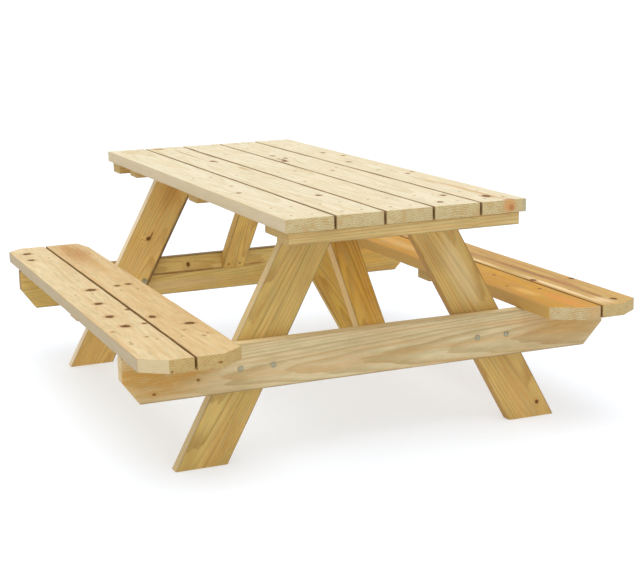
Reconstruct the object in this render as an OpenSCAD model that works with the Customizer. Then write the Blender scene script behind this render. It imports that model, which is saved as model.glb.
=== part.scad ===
// Picnic table with attached benches, built from planed softwood boards.
// Millimetres, +Z up. The origin is on the ground, under the middle of the table.
// X runs across the table, from the left bench to the right bench.
// Y runs along the boards, from the front end (-Y) to the back end (+Y).

/* [Lumber] */
// Thickness of every board and batten
board_t = 38; // [30:1:45]
// Width of the top and bench boards
board_w = 144; // [120:1:150]
// Width of the legs and beams
frame_w = 140; // [120:1:150]
// Width of the narrow boards: cleats, battens and braces
batten_w = 89; // [70:1:95]
// Size of the eased long edges
ease = 3; // [1:0.5:5]

/* [Tabletop] */
// Length of the top and bench boards
board_len = 1829; // [1700:1:2000]
// Height of the tabletop's upper face
top_h = 746; // [720:1:780]
// Gap between two tabletop boards
top_gap = 5; // [4:1:14]
// Number of tabletop boards
top_count = 5; // [5]
// Distance from the boards' ends to an outer cleat
outer_cleat_inset = 14; // [5:1:30]
// Length of an outer cleat
outer_cleat_len = 710; // [700:1:730]
// Length of an inner cleat and of the centre cleat
inner_cleat_len = 664; // [650:1:700]

/* [Benches] */
// Height of the benches' upper face
seat_h = 403; // [380:1:450]
// Distance from the middle of the table to a bench's inner edge
seat_inner = 486; // [480:1:520]
// Gap between a bench's two boards
seat_gap = 5; // [4:1:14]
// Left outer board's corner clips: across and along at the front, across and along at the back
clip_left_outer = [72, 56, 48, 55];
// Left inner board's corner clips, in the same order
clip_left_inner = [66, 52, 24, 105];
// Right inner board's corner clips, in the same order
clip_right_inner = [92, 57, 66, 52];
// Right outer board's corner clips, in the same order
clip_right_outer = [68, 47, 66, 52];
// Length of the batten under the middle of a bench
seat_batten_len = 240; // [230:1:250]
// Distance of that batten's middle from the middle of the bench, towards the table's middle
seat_batten_shift = 7; // [0:1:10]

/* [Frames] */
// Distance from the middle of the table to a frame's outer face
frame_y = 698; // [680:1:720]
// Lean of the legs from the vertical
leg_lean = 28.5; // [26:0.5:30]
// Distance from the middle to a leg's outer edge, at the leg's top
leg_top_x = 243; // [230:1:255]
// Left end bevel of a seat beam, along the beam
bevel_left_x = 50; // [30:1:90]
// Right end bevel of a seat beam, along the beam
bevel_right_x = 68; // [30:1:90]
// End bevel of a seat beam, height
bevel_z = 70; // [30:1:90]

/* [Braces] */
// Slope of a brace above the horizontal
brace_slope = 48; // [45:1:52]
// Distance from a seat beam's upper edge down to a brace's upper face
brace_drop = 7; // [2:1:15]
// Sideways offset of the back brace, so that the two braces don't line up
back_brace_x = 28; // [0:1:40]

/* [Fasteners] */
// Diameter of the carriage bolts
bolt_d = 8; // [8:1:10]
// Diameter of a carriage bolt's domed head
bolt_head_d = 17; // [16:1:22]
// Height of a carriage bolt's domed head
bolt_head_h = 4.5; // [4:0.5:6]
// Distance between the two bolts of a leg
bolt_pitch = 100; // [90:1:110]
// Height of the bolts above the ground
bolt_z = 292; // [285:1:300]
// Distance of a leg's two bolts from the middle of the leg, towards the table's middle
bolt_shift = 6; // [0:1:10]
// Length of a board screw
screw_len = 60; // [50:1:65]
// Length of a brace screw
brace_screw_len = 40; // [30:1:42]

/* [Hidden] */
$fn = 48;

// lumber
slack = 0.05;
cut_over = 5;
long_cut = 400;

// tabletop
top_under = top_h - board_t;
top_pitch = board_w + top_gap;
cleat_mid_z = top_under - board_t / 2;
outer_cleat_y = board_len / 2 - outer_cleat_inset - batten_w / 2;
leg_face_y = frame_y - board_t;
inner_cleat_y = leg_face_y + batten_w / 2;
cleat_rows = [-outer_cleat_y, -inner_cleat_y, 0, inner_cleat_y, outer_cleat_y];

// benches
seat_pitch = board_w + seat_gap;
seat_inner_x = seat_inner + board_w / 2;
seat_outer_x = seat_inner_x + seat_pitch;
seat_edge = seat_outer_x + board_w / 2;
seat_under = seat_h - board_t;
seat_batten_x = seat_inner + (seat_edge - seat_inner) / 2 - seat_batten_shift;

// frames
beam_mid_y = frame_y - board_t / 2;
beam_mid_z = seat_under - frame_w / 2;
leg_mid_y = leg_face_y - board_t / 2;
leg_back_y = leg_face_y - board_t;
leg_slope = tan(leg_lean);
leg_run = frame_w / cos(leg_lean);
leg_len = top_under / cos(leg_lean) + 2 * frame_w;
leg_mid_x = leg_top_x + leg_slope * top_under / 2 - leg_run / 2;
bolt_mid_x = leg_top_x + leg_slope * (top_under - bolt_z) - leg_run / 2 - bolt_shift;

// braces: heights of the upper and lower faces where they meet the beam
brace_rise = tan(brace_slope);
brace_high_z = seat_under - brace_drop;
brace_low_z = brace_high_z - board_t / cos(brace_slope);
brace_mid_z = (brace_high_z + brace_low_z) / 2;
brace_len = (top_under - brace_low_z) / sin(brace_slope) + 2 * board_t;

// carriage bolts, washers and nuts
bolt_hole_d = bolt_d + 1;
bolt_neck_h = 5;
bolt_end = 12.5;
washer_d = 20;
washer_t = 2;
nut_af = 13;
nut_t = 6.5;

// screws
screw_d = 4.5;
screw_head_d = 9;
screw_head_h = 3;
screw_tip_gap = 1;
leg_screw_len = screw_len - screw_tip_gap;
top_screw_dx = 30;
seat_screw_dx = 38;
batten_screw_dx = 28;
leg_screw_dx = 38;
brace_screw_dx = 22;
head_sink = 4;
brace_foot_up = 18;
brace_top_in = 19;

// ---- places that repeat ----

function top_board_x(k) = (k - (top_count + 1) / 2) * top_pitch;

function top_screw_xs() = [for (k = [1 : top_count]) for (s = [-1, 1]) top_board_x(k) + s * top_screw_dx];

function bench_screw_xs(dx) = [for (x = [seat_inner_x, seat_outer_x]) for (s = [-1, 1]) x + s * dx];

function bolt_xs() = [for (s = [-1, 1]) bolt_mid_x + s * bolt_pitch / 2];

function leg_screw_xs() = [
    for (s = [-1, 1]) leg_top_x + leg_slope * board_t / 2 - leg_run / 2 + s * leg_screw_dx
];

// ---- building blocks ----

// Section of a board with eased edges, width along X and thickness along Y
module eased_section(w, t) {
    polygon([
        [-w / 2 + ease, -t / 2], [w / 2 - ease, -t / 2],
        [w / 2, -t / 2 + ease], [w / 2, t / 2 - ease],
        [w / 2 - ease, t / 2], [-w / 2 + ease, t / 2],
        [-w / 2, t / 2 - ease], [-w / 2, -t / 2 + ease]
    ]);
}

// Flat board along Y, centred on the origin
module board_along_y(w, len) {
    rotate([90, 0, 0])
        linear_extrude(height = len, center = true)
            eased_section(w, board_t);
}

// Flat board along X, centred on the origin
module board_along_x(w, len) {
    rotate([0, 0, 90])
        board_along_y(w, len);
}

// Board along Z with its wide face towards Y, centred on the origin
module board_upright(w, len) {
    linear_extrude(height = len, center = true)
        eased_section(w, board_t);
}

// Countersunk screw with its flat head at the origin, pointing down.
// The same shape with some extra radius cuts its hole.
module screw(len, extra = 0) {
    head_r = screw_head_d / 2 + extra;
    shank_r = screw_d / 2 + extra;
    translate([0, 0, -screw_head_h])
        cylinder(r1 = shank_r, r2 = head_r, h = screw_head_h);
    translate([0, 0, -len])
        cylinder(r = shank_r, h = len - screw_head_h);
}

// Hole for a screw: its own shape, open above the head
module screw_hole(len) {
    screw(len + screw_tip_gap, slack);
    cylinder(r = screw_head_d / 2 + slack, h = board_t);
}

module top_screw_set(y, holes = false) {
    for (x = top_screw_xs())
        translate([x, y, top_h])
            if (holes) screw_hole(screw_len);
            else screw(screw_len);
}

module bench_screw_set(y, dx, holes = false) {
    for (s = [-1, 1])
        for (x = bench_screw_xs(dx))
            translate([s * x, y, seat_h])
                if (holes) screw_hole(screw_len);
                else screw(screw_len);
}

// The two screws that hold a leg's top to the inner cleat, for side sx and end sy
module leg_screw_pair(sx, sy, holes = false) {
    for (x = leg_screw_xs())
        translate([sx * x, sy * leg_back_y, cleat_mid_z])
            rotate([sy * 90, 0, 0])
                if (holes) screw_hole(leg_screw_len);
                else screw(leg_screw_len);
}

// The brace's four screws: two level ones at its foot and two upright ones at its top
module brace_screw_set(sy, x, holes = false) {
    foot_z = brace_low_z + brace_foot_up;
    foot_y = leg_face_y - brace_foot_up / brace_rise + head_sink;
    top_y = leg_face_y - (top_under - brace_low_z) / brace_rise + brace_top_in;
    top_z = brace_low_z + (leg_face_y - top_y) * brace_rise + head_sink;
    for (s = [-1, 1]) {
        translate([x + s * brace_screw_dx, sy * foot_y, foot_z])
            rotate([sy * 90, 0, 0])
                if (holes) screw_hole(brace_screw_len);
                else screw(brace_screw_len);
        translate([x + s * brace_screw_dx, sy * top_y, top_z])
            rotate([180, 0, 0])
                if (holes) screw_hole(brace_screw_len);
                else screw(brace_screw_len);
    }
}

// Carriage bolt along Y with its dome at the outer face of end sy
module carriage_bolt(sy) {
    dome_r = (pow(bolt_head_d / 2, 2) + pow(bolt_head_h, 2)) / (2 * bolt_head_h);
    rotate([-sy * 90, 0, 0]) {
        intersection() {
            translate([0, 0, bolt_head_h - dome_r])
                sphere(r = dome_r, $fn = 96);
            cylinder(d = bolt_head_d + 1, h = bolt_head_h + 1);
        }
        translate([-bolt_d / 2, -bolt_d / 2, -bolt_neck_h])
            cube([bolt_d, bolt_d, bolt_neck_h]);
        translate([0, 0, -2 * board_t - bolt_end])
            cylinder(d = bolt_d, h = 2 * board_t + bolt_end - bolt_neck_h);
    }
}

module bolt_holes() {
    for (sx = [-1, 1])
        for (x = bolt_xs())
            translate([sx * x, 0, bolt_z])
                rotate([90, 0, 0])
                    cylinder(d = bolt_hole_d, h = 2 * (frame_y + cut_over), center = true);
}

// Square pockets that a carriage bolt's neck is pulled into, at end sy
module neck_pockets(sy) {
    pocket = bolt_d + 2 * slack;
    for (sx = [-1, 1])
        for (x = bolt_xs())
            translate([sx * x, sy * frame_y, bolt_z])
                cube([pocket, 2 * (bolt_neck_h + slack), pocket], center = true);
}

module at_each_bolt(y) {
    for (sy = [-1, 1])
        for (sx = [-1, 1])
            for (x = bolt_xs())
                translate([sx * x, sy * y, bolt_z])
                    rotate([-sy * 90, 0, 0])
                        children();
}

// ---- wooden sub-parts ----

module top_board(k) {
    color("#f2e6c4")
        difference() {
            translate([top_board_x(k), 0, top_under + board_t / 2])
                board_along_y(board_w, board_len);
            for (y = cleat_rows)
                top_screw_set(y, holes = true);
            if (k == (top_count + 1) / 2) {
                brace_screw_set(-1, 0, holes = true);
                brace_screw_set(1, back_brace_x, holes = true);
            }
        }
}

module top_cleat(y, len) {
    color("#c9ab6d")
        difference() {
            translate([0, y, cleat_mid_z])
                board_along_x(batten_w, len);
            top_screw_set(y, holes = true);
            if (abs(y) == inner_cleat_y)
                for (sx = [-1, 1])
                    leg_screw_pair(sx, sign(y), holes = true);
        }
}

module leg(sx, sy) {
    color("#c79f5c")
        difference() {
            intersection() {
                translate([sx * leg_mid_x, sy * leg_mid_y, top_under / 2])
                    rotate([0, -sx * leg_lean, 0])
                        board_upright(frame_w, leg_len);
                translate([-frame_y - long_cut, -frame_y - long_cut, 0])
                    cube([2 * (frame_y + long_cut), 2 * (frame_y + long_cut), top_under]);
            }
            bolt_holes();
            leg_screw_pair(sx, sy, holes = true);
        }
}

module seat_beam(sy) {
    color("#cdb078")
        difference() {
            translate([0, sy * beam_mid_y, beam_mid_z])
                rotate([90, 0, 90])
                    linear_extrude(height = 2 * seat_edge, center = true)
                        rotate(90)
                            eased_section(frame_w, board_t);
            for (sx = [-1, 1])
                end_bevel(sx);
            bolt_holes();
            neck_pockets(sy);
            bench_screw_set(sy * beam_mid_y, seat_screw_dx, holes = true);
            brace_screw_set(sy, sy > 0 ? back_brace_x : 0, holes = true);
        }
}

// Wedge that cuts the lower corner off the seat beams at side sx
module end_bevel(sx) {
    beam_under = beam_mid_z - frame_w / 2;
    bevel_x = sx < 0 ? bevel_left_x : bevel_right_x;
    rotate([90, 0, 0])
        linear_extrude(height = 2 * (frame_y + cut_over), center = true)
            polygon([
                [sx * (seat_edge - 2 * bevel_x), beam_under - bevel_z],
                [sx * (seat_edge + bevel_x), beam_under - bevel_z],
                [sx * (seat_edge + bevel_x), beam_under + 2 * bevel_z]
            ]);
}

module brace(sy, x) {
    mid_z = (top_under + brace_low_z) / 2;
    mid_y = leg_face_y - (mid_z - brace_mid_z) / brace_rise;
    color("#b98a4c")
        difference() {
            intersection() {
                translate([x, sy * mid_y, mid_z])
                    rotate([sy * (90 - brace_slope), 0, 0])
                        board_upright(batten_w, brace_len);
                translate([x, sy * leg_face_y / 2, top_under / 2])
                    cube([2 * batten_w, leg_face_y, top_under], center = true);
            }
            brace_screw_set(sy, x, holes = true);
        }
}

// Bench board on side sx; corner_s is +1 where its outer corners are clipped, -1 for its inner ones.
// clips holds its two corner clips: across and along at the front, then across and along at the back.
module bench_board(sx, x, corner_s, clips) {
    color("#ecd9a8")
        difference() {
            translate([sx * x, 0, seat_under + board_t / 2])
                board_along_y(board_w, board_len);
            corner_clip(sx * (x + corner_s * board_w / 2), sx * corner_s, -1, clips[0], clips[1]);
            corner_clip(sx * (x + corner_s * board_w / 2), sx * corner_s, 1, clips[2], clips[3]);
            for (y = [-beam_mid_y, beam_mid_y])
                bench_screw_set(y, seat_screw_dx, holes = true);
            bench_screw_set(0, batten_screw_dx, holes = true);
        }
}

// Upright wedge that clips a bench corner; side is the X direction that the corner points to
module corner_clip(edge_x, side, sy, clip_x, clip_y) {
    end_y = sy * board_len / 2;
    translate([0, 0, seat_under - cut_over])
        linear_extrude(height = board_t + 2 * cut_over)
            polygon([
                [edge_x - 2 * side * clip_x, end_y + sy * clip_y],
                [edge_x + side * clip_x, end_y + sy * clip_y],
                [edge_x + side * clip_x, end_y - 2 * sy * clip_y]
            ]);
}

module seat_batten(sx) {
    color("#b08a4a")
        difference() {
            translate([sx * seat_batten_x, 0, seat_under - board_t / 2])
                board_along_x(batten_w, seat_batten_len);
            bench_screw_set(0, batten_screw_dx, holes = true);
        }
}

// ---- fasteners ----

module carriage_bolts() {
    color("#b9bcc0")
        for (sy = [-1, 1])
            for (sx = [-1, 1])
                for (x = bolt_xs())
                    translate([sx * x, sy * frame_y, bolt_z])
                        carriage_bolt(sy);
}

module bolt_washers() {
    color("#c4c7ca")
        at_each_bolt(leg_back_y - washer_t)
            difference() {
                cylinder(d = washer_d, h = washer_t);
                translate([0, 0, -1])
                    cylinder(d = bolt_hole_d, h = washer_t + 2);
            }
}

module bolt_nuts() {
    color("#aeb1b5")
        at_each_bolt(leg_back_y - washer_t - nut_t)
            difference() {
                cylinder(d = nut_af / cos(30), h = nut_t, $fn = 6);
                translate([0, 0, -1])
                    cylinder(d = bolt_d + 2 * slack, h = nut_t + 2);
            }
}

module top_screws() {
    color("#9a9ca0")
        for (y = cleat_rows)
            top_screw_set(y);
}

module bench_screws() {
    color("#9a9ca0") {
        for (y = [-beam_mid_y, beam_mid_y])
            bench_screw_set(y, seat_screw_dx);
        bench_screw_set(0, batten_screw_dx);
    }
}

module leg_screws() {
    color("#9a9ca0")
        for (sy = [-1, 1])
            for (sx = [-1, 1])
                leg_screw_pair(sx, sy);
}

module brace_screws() {
    color("#9a9ca0") {
        brace_screw_set(-1, 0);
        brace_screw_set(1, back_brace_x);
    }
}

// ---- nodes ----

top_board(1);  // top_board_1
top_board(2);  // top_board_2
top_board(3);  // top_board_3
top_board(4);  // top_board_4
top_board(5);  // top_board_5
top_cleat(-outer_cleat_y, outer_cleat_len);  // cleat_front_outer
top_cleat(-inner_cleat_y, inner_cleat_len);  // cleat_front_inner
top_cleat(0, inner_cleat_len);  // cleat_centre
top_cleat(inner_cleat_y, inner_cleat_len);  // cleat_back_inner
top_cleat(outer_cleat_y, outer_cleat_len);  // cleat_back_outer
leg(-1, -1);  // leg_front_left
leg(1, -1);  // leg_front_right
leg(-1, 1);  // leg_back_left
leg(1, 1);  // leg_back_right
seat_beam(-1);  // seat_beam_front
seat_beam(1);  // seat_beam_back
brace(-1, 0);  // brace_front
brace(1, back_brace_x);  // brace_back
bench_board(-1, seat_outer_x, 1, clip_left_outer);  // bench_left_outer
bench_board(-1, seat_inner_x, -1, clip_left_inner);  // bench_left_inner
bench_board(1, seat_inner_x, -1, clip_right_inner);  // bench_right_inner
bench_board(1, seat_outer_x, 1, clip_right_outer);  // bench_right_outer
seat_batten(-1);  // seat_batten_left
seat_batten(1);  // seat_batten_right
carriage_bolts();
bolt_washers();
bolt_nuts();
top_screws();
bench_screws();
leg_screws();
brace_screws();
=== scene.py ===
"""Looks for a picnic table with attached benches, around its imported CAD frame."""

import math

import bmesh
import bpy
import numpy as np
from mathutils import Matrix, Vector, noise


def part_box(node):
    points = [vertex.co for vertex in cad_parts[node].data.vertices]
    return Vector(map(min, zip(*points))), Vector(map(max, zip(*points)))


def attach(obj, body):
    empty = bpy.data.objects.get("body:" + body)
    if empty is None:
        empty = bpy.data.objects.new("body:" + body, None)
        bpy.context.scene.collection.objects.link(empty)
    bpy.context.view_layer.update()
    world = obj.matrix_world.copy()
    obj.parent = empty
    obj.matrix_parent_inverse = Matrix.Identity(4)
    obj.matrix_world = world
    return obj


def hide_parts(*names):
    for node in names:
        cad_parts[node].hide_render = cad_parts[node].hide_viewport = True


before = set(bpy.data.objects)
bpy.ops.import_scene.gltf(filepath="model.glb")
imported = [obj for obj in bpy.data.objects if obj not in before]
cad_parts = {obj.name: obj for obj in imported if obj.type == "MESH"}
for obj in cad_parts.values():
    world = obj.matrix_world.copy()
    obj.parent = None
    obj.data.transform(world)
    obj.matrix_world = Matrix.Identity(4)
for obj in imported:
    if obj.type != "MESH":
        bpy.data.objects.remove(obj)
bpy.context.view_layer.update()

MM = 0.001
BODY = "root"

# ---- sizes that the CAD source also has, in millimetres ----

BOARD_T = 38
# width of the legs
LEG_W = 140
LEG_LEAN = math.radians(28.5)
BRACE_SLOPE = math.radians(48)
BEVEL_LEFT = 50
BEVEL_RIGHT = 68
BEVEL_UP = 70
# corner clips of the bench boards: across and along at the front, then at the back
CLIPS = {
    "bench_left_outer": (72, 56, 48, 55),
    "bench_left_inner": (66, 52, 24, 105),
    "bench_right_inner": (92, 57, 66, 52),
    "bench_right_outer": (68, 47, 66, 52),
}

X_AXIS = Vector((1, 0, 0))
Y_AXIS = Vector((0, 1, 0))
Z_AXIS = Vector((0, 0, 1))


# ---- shader helper ----


class Net:
    """Adds shader nodes to one tree and links them."""

    def __init__(self, material):
        material.use_nodes = True
        self.tree = material.node_tree
        self.tree.nodes.clear()

    def add(self, kind, **props):
        made = self.tree.nodes.new(kind)
        for key, value in props.items():
            setattr(made, key, value)
        return made

    def put(self, socket, value):
        if isinstance(value, bpy.types.NodeSocket):
            self.tree.links.new(value, socket)
        elif value is not None:
            socket.default_value = value

    def math(self, op, a, b=None, clamp=False):
        made = self.add("ShaderNodeMath", operation=op, use_clamp=clamp)
        self.put(made.inputs[0], a)
        self.put(made.inputs[1], b)
        return made.outputs[0]

    def vec(self, op, a, b=None, scale=None):
        made = self.add("ShaderNodeVectorMath", operation=op)
        self.put(made.inputs[0], a)
        self.put(made.inputs[1], b)
        if scale is not None:
            self.put(made.inputs["Scale"], scale)
        return made.outputs["Value" if op in ("LENGTH", "DOT_PRODUCT") else "Vector"]

    def ramp(self, value, low, high, to_low=0.0, to_high=1.0):
        made = self.add("ShaderNodeMapRange", interpolation_type="SMOOTHSTEP")
        for key, number in zip(range(1, 5), (low, high, to_low, to_high)):
            made.inputs[key].default_value = number
        self.put(made.inputs[0], value)
        return made.outputs[0]

    def noise(self, vector, scale=1.0, detail=2.0, rough=0.5):
        made = self.add("ShaderNodeTexNoise")
        self.put(made.inputs["Vector"], vector)
        made.inputs["Scale"].default_value = scale
        made.inputs["Detail"].default_value = detail
        made.inputs["Roughness"].default_value = rough
        return made.outputs["Fac"]

    def mix(self, factor, a, b):
        made = self.add("ShaderNodeMix", data_type="RGBA")
        self.put(made.inputs[0], factor)
        self.put(made.inputs[6], a)
        self.put(made.inputs[7], b)
        return made.outputs[2]

    def bump(self, height, strength, distance, normal=None):
        made = self.add("ShaderNodeBump")
        made.inputs["Strength"].default_value = strength
        made.inputs["Distance"].default_value = distance
        self.put(made.inputs["Height"], height)
        self.put(made.inputs["Normal"], normal)
        return made.outputs["Normal"]


def rgb(red, green, blue):
    """Linear colour from screen values of 0 to 255."""
    def linear(value):
        share = value / 255
        return share / 12.92 if share <= 0.04045 else ((share + 0.055) / 1.055) ** 2.4
    return (linear(red), linear(green), linear(blue), 1.0)


# ---- pine ----

MOTTLE = (168, 160, 112)
SPECK = (120, 84, 48)
KNOT_RIM = (116, 70, 14)
KNOT_HEART = (66, 36, 4)
KNOT_HALO = (186, 132, 62)
# how far the growth rings sway across and through a board, in millimetres
RING_SWAY = (12.0, 6.0)


class Look:
    """How one board looks. Lengths are in millimetres in the board's own axes:
    x along it, y across it and z through it, from its middle."""

    def __init__(self, pale, late, **more):
        self.pale = pale
        self.late = late
        self.warm = more.get("warm", (214, 160, 96))
        self.end = more.get("end", (196, 178, 134))
        self.pith = more.get("pith", (8, -95))
        self.tilt = more.get("tilt", (0.004, 0.02))
        self.gap = more.get("gap", 5.0)
        self.contrast = more.get("contrast", 0.55)
        self.streak = more.get("streak", 0.35)
        self.patch = more.get("patch", 0.3)
        self.knots = more.get("knots", ())
        # painted shadow towards one end, as (start, stop, depth, colour) along the board
        self.fade = more.get("fade")
        # narrow faces tinted whole, as (side, depth, colour): painted shade on most, painted light on
        # some
        self.sides = more.get("sides", ())
        # painted highlight on clipped corner faces
        self.clip_highlight = more.get("clip_highlight", 0.0)
        self.end_marks = more.get("end_marks", ())
        self.bands = more.get("bands", ())
        self.rugged = more.get("rugged", 0.35)
        # how dark the long edges get: partly wear, partly painted shade
        self.edge_wear_and_shade = more.get("edge_wear_and_shade", 0.42)
        self.edge = more.get("edge", late)


def add_knots(net, place, look, wobble):
    """Distance to the nearest knot in knot radii, and how dark a knot is there."""
    nearest = None
    core = None
    for x, y, along, across, dark in look.knots:
        step = net.vec("SUBTRACT", place, (x, y, 0))
        step = net.vec("MULTIPLY", step, (1 / along, 1 / across, 0))
        away = net.math("ADD", net.vec("LENGTH", step), wobble)
        here = net.ramp(away, 0.75, 1.1, dark, 0.0)
        nearest = away if nearest is None else net.math("MINIMUM", nearest, away)
        core = here if core is None else net.math("MAXIMUM", core, here)
    return nearest, core


def ring_field(net, place, look, push, shift):
    """Growth rings: distance from the tree's middle in ring widths."""
    slow = net.vec("MULTIPLY", shift, (0.0022, 0.02, 0.02))
    sway_y = net.math("MULTIPLY", net.math("SUBTRACT", net.noise(slow, 1.0, 1.5), 0.5), RING_SWAY[0])
    sway_z = net.math("MULTIPLY", net.math("SUBTRACT", net.noise(slow, 2.3, 1.5), 0.5), RING_SWAY[1])
    split = net.add("ShaderNodeSeparateXYZ")
    net.put(split.inputs[0], place)
    lean_y = net.math("MULTIPLY", split.outputs[0], look.tilt[0])
    lean_z = net.math("MULTIPLY", split.outputs[0], look.tilt[1])
    far_y = net.math("SUBTRACT", net.math("ADD", split.outputs[1], sway_y), look.pith[0])
    far_z = net.math("SUBTRACT", net.math("ADD", split.outputs[2], sway_z), look.pith[1])
    join = net.add("ShaderNodeCombineXYZ")
    net.put(join.inputs[1], net.math("SUBTRACT", far_y, lean_y))
    net.put(join.inputs[2], net.math("SUBTRACT", far_z, lean_z))
    away = net.vec("LENGTH", join.outputs[0])
    if push is not None:
        away = net.math("ADD", away, push)
    years = net.math("DIVIDE", away, look.gap)
    uneven = net.noise(net.vec("MULTIPLY", shift, (0.0004, 0.011, 0.011)), 1.0, 1.0)
    return net.math("ADD", years, net.math("MULTIPLY", uneven, 2.5))


def board_place(net, coords, matrix):
    """Millimetres along, across and through a board, from its middle."""
    step = net.vec("SUBTRACT", coords.outputs["Object"], matrix.translation)
    step = net.vec("SCALE", step, scale=1000.0)
    join = net.add("ShaderNodeCombineXYZ")
    for index in range(3):
        axis = matrix.col[index].to_3d()
        net.put(join.inputs[index], net.vec("DOT_PRODUCT", step, axis))
    return join.outputs[0]


def ring_tones(net, years, look):
    """How dark the late wood is in each ring, plain and as it tints the board."""
    part = net.math("FRACT", years)
    late = net.math("MULTIPLY", net.ramp(part, 0.28, 0.9), net.ramp(part, 0.93, 1.0, 1.0, 0.0))
    year = net.add("ShaderNodeTexWhiteNoise", noise_dimensions="1D")
    net.put(year.inputs["W"], net.math("FLOOR", years))
    strong = net.math("MULTIPLY_ADD", year.outputs[0], 0.6)
    strong.node.inputs[2].default_value = 0.5
    grain = net.math("MULTIPLY", net.math("MULTIPLY", late, strong), look.contrast, clamp=True)
    return late, grain


def stains_and_shadow(net, place, shift, look, colour):
    """Warm streaks, darker blots, a painted shadow towards one end and listed bands of colour."""
    streaks = net.noise(net.vec("MULTIPLY", shift, (0.0016, 0.055, 0.055)), 1.0, 3.0, 0.55)
    colour = net.mix(net.ramp(streaks, 0.42, 0.72, 0.0, look.streak), colour, rgb(*look.warm))
    blots = net.noise(net.vec("MULTIPLY", shift, (0.0045, 0.014, 0.014)), 1.0, 2.0)
    colour = net.mix(net.ramp(blots, 0.35, 0.7, 0.0, look.patch), colour, rgb(*look.late))
    # painted shadow: the board darkens towards one end, where it runs into shade
    if look.fade:
        start, stop, depth, tint = look.fade
        split = net.add("ShaderNodeSeparateXYZ")
        net.put(split.inputs[0], place)
        along = net.math("ADD", split.outputs[0], net.math("MULTIPLY", streaks, 120.0))
        colour = net.mix(net.ramp(along, start, stop, 0.0, depth), colour, rgb(*tint))
    for middle, reach, depth, tint in look.bands:
        step = net.vec("SUBTRACT", place, (middle[0], middle[1], 0))
        step = net.vec("MULTIPLY", step, (1 / reach[0], 1 / reach[1], 0))
        away = net.math("ADD", net.vec("LENGTH", step), net.math("MULTIPLY", streaks, 1.1))
        colour = net.mix(net.ramp(away, 0.8, 1.6, depth, 0.0), colour, rgb(*tint))
    return colour


def mottled(net, shift, look, colour):
    """Fine olive and pale patches that run along the grain."""
    mottle = net.noise(net.vec("MULTIPLY", shift, (0.012, 0.09, 0.09)), 1.0, 4.0, 0.65)
    colour = net.mix(net.ramp(mottle, 0.42, 0.72, 0.0, look.rugged), colour, rgb(*MOTTLE))
    spots = net.noise(net.vec("MULTIPLY", shift, (0.03, 0.16, 0.16)), 1.0, 3.0, 0.7)
    return net.mix(net.ramp(spots, 0.5, 0.72, 0.0, look.rugged), colour, rgb(*look.pale))


def fibred(net, shift, look, colour):
    """Fibres and small dark specks. Returns the colour and the fibres' height."""
    fibres = net.noise(net.vec("MULTIPLY", shift, (0.03, 1.1, 1.1)), 1.0, 2.0, 0.6)
    colour = net.mix(net.ramp(fibres, 0.3, 0.75, 0.0, 0.22), colour, rgb(*look.late))
    specks = net.noise(net.vec("MULTIPLY", shift, (0.06, 0.16, 0.16)), 1.0, 2.0, 0.7)
    specks = net.ramp(specks, 0.69, 0.78)
    return net.mix(net.math("MULTIPLY", specks, 0.45), colour, rgb(*SPECK)), fibres


def knotted(net, nearest, core, before):
    """Dark knots with a warm halo, standing a little proud."""
    colour, relief, rough = before
    colour = net.mix(net.ramp(nearest, 0.9, 2.2, 0.5, 0.0), colour, rgb(*KNOT_HALO))
    inner = net.mix(net.ramp(nearest, 0.45, 0.85), rgb(*KNOT_RIM), rgb(*KNOT_HEART))
    colour = net.mix(core, colour, inner)
    relief = net.math("ADD", relief, net.math("MULTIPLY", core, 0.7))
    rough = net.math("ADD", rough, net.math("MULTIPLY", core, 0.1))
    return colour, relief, rough


def wood_surface(net, shift, colour, relief, rough):
    """The board's shader, with soft dents under the finer relief."""
    surface = net.add("ShaderNodeBsdfPrincipled")
    net.put(surface.inputs["Base Color"], colour)
    net.put(surface.inputs["Roughness"], net.math("ADD", rough, 0.56, clamp=True))
    surface.inputs["Specular IOR Level"].default_value = 0.35
    dents = net.noise(net.vec("MULTIPLY", shift, (0.02, 0.045, 0.045)), 1.0, 2.0)
    normal = net.bump(dents, 0.25, 0.0008)
    normal = net.bump(relief, 0.35, 0.0004, normal)
    net.put(surface.inputs["Normal"], normal)
    out = net.add("ShaderNodeOutputMaterial")
    net.put(out.inputs["Surface"], surface.outputs[0])


def pine(name, look, half, seed, matrix):
    """Pine or spruce board: rings, stains, fibres, knots, sawn ends, worn edges with painted shade, and
    painted light and shade on listed narrow faces.
    """
    material = bpy.data.materials.new(name)
    net = Net(material)
    coords = net.add("ShaderNodeTexCoord")
    place = board_place(net, coords, matrix)
    shift = net.vec("ADD", place, (seed * 911.0, seed * 137.0, seed * 59.0))
    wobble = net.noise(net.vec("MULTIPLY", shift, (0.09, 0.09, 0.02)), 1.0, 2.0)
    wobble = net.math("MULTIPLY", net.math("SUBTRACT", wobble, 0.5), 0.9)
    nearest, core = add_knots(net, place, look, wobble)
    push = None
    if nearest is not None:
        push = net.ramp(nearest, 0.3, 3.6, look.gap * 2.6, 0.0)
    years = ring_field(net, place, look, push, shift)
    late, grain = ring_tones(net, years, look)
    colour = net.mix(grain, rgb(*look.pale), rgb(*look.late))
    colour = stains_and_shadow(net, place, shift, look, colour)
    colour = mottled(net, shift, look, colour)
    colour, fibres = fibred(net, shift, look, colour)
    relief = net.math("ADD", net.math("MULTIPLY", grain, 0.5), net.math("MULTIPLY", fibres, 0.55))
    rough = net.math("ADD", net.math("MULTIPLY", fibres, 0.22), net.math("MULTIPLY", grain, -0.12))
    if core is not None:
        colour, relief, rough = knotted(net, nearest, core, (colour, relief, rough))
    facing = net.vec("DOT_PRODUCT", coords.outputs["Normal"], matrix.col[0].to_3d())
    colour, relief, rough = sawn_ends(
        net, facing, place, shift, look, late, (colour, relief, rough)
    )
    colour = worn_edges_painted_shade_and_light(net, place, shift, half, colour, look)
    wood_surface(net, shift, colour, relief, rough)
    return material


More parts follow.
